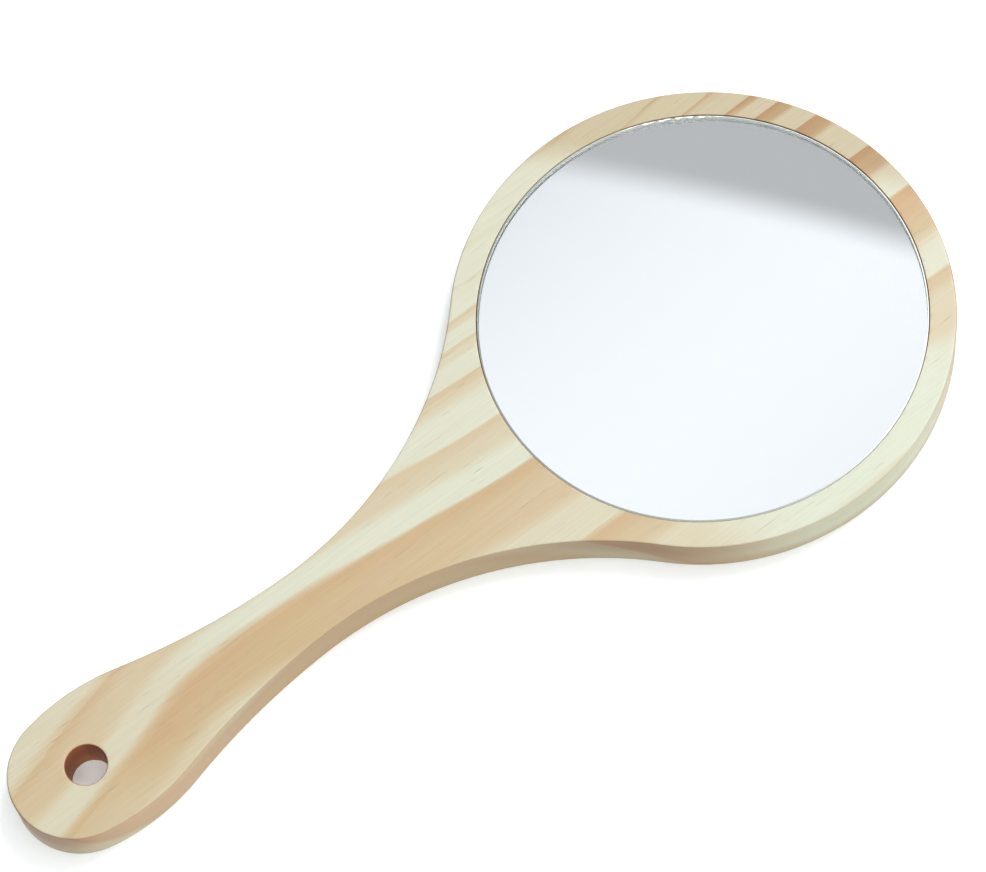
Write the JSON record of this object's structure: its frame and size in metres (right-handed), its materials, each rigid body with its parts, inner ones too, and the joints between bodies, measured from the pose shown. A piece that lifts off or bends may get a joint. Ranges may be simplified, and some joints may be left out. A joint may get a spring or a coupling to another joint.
{
  "type": "hand mirror",
  "caption": "Round hand mirror: a bevelled glass set flush into a waisted pine board with a swelling handle and a hang hole.",
  "frame": {"origin": "under the middle of the board, on its back face", "axes": "+Y from the end of the handle to the head, +Z out of the mirror's face, +X across the handle"},
  "size_m": [0.1234, 0.2658, 0.011],
  "materials": {
    "pine": "clear satin lacquer over sanded pine",
    "glass": "polished, with ground bevels",
    "silver": "mirror",
    "backing_paint": "matt paint",
    "foam_tape": "matt closed-cell foam"
  },
  "bodies": {
    "root": {"wood_body": "pine", "mirror_glass": "glass", "silver_layer": "silver", "backing_paint": "backing_paint", "tape_square_centre": "foam_tape", "tape_square_1": "foam_tape", "tape_square_2": "foam_tape", "tape_square_3": "foam_tape", "tape_square_4": "foam_tape"}
  },
  "joints": []
}
